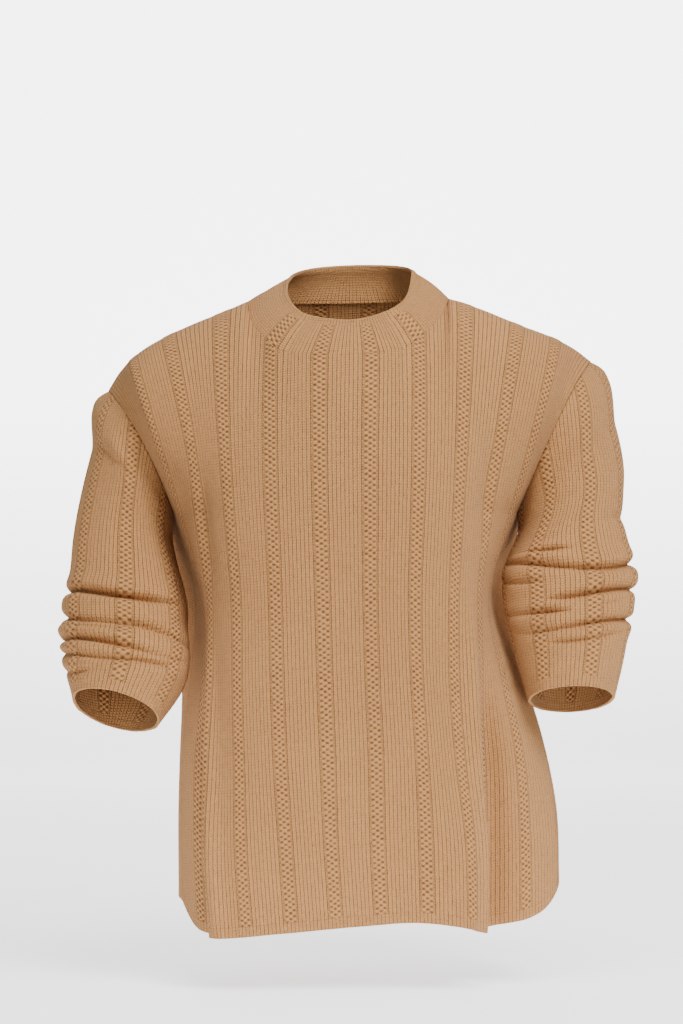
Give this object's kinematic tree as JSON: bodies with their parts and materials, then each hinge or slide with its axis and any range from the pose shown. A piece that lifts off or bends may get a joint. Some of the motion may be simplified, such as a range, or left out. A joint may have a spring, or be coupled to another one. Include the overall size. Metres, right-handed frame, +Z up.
{
  "type": "funnel-neck knitted sweater",
  "caption": "Hollow worn pullover with a short funnel collar, long sleeves pushed up at the forearms and vertical moss-stitch columns.",
  "frame": {"origin": "middle of the shoulders inside the neck, level with the inner ends of the shoulder seams, where the wearer's neck and shoulders hold the sweater up", "axes": "+Z up along the body, -Y out of the front, +X to the right as seen from the front"},
  "size_m": [0.6079, 0.2564, 0.7076],
  "materials": {
    "knit_front": "soft napped camel wool knit",
    "knit_back": "soft napped camel wool knit",
    "knit_sleeve_left": "soft napped camel wool knit",
    "knit_sleeve_right": "soft napped camel wool knit",
    "knit_collar": "soft napped camel wool knit"
  },
  "bodies": {
    "root": {"front": "knit_front", "back": "knit_back", "sleeve_left": "knit_sleeve_left", "sleeve_right": "knit_sleeve_right", "collar": "knit_collar"}
  },
  "joints": []
}
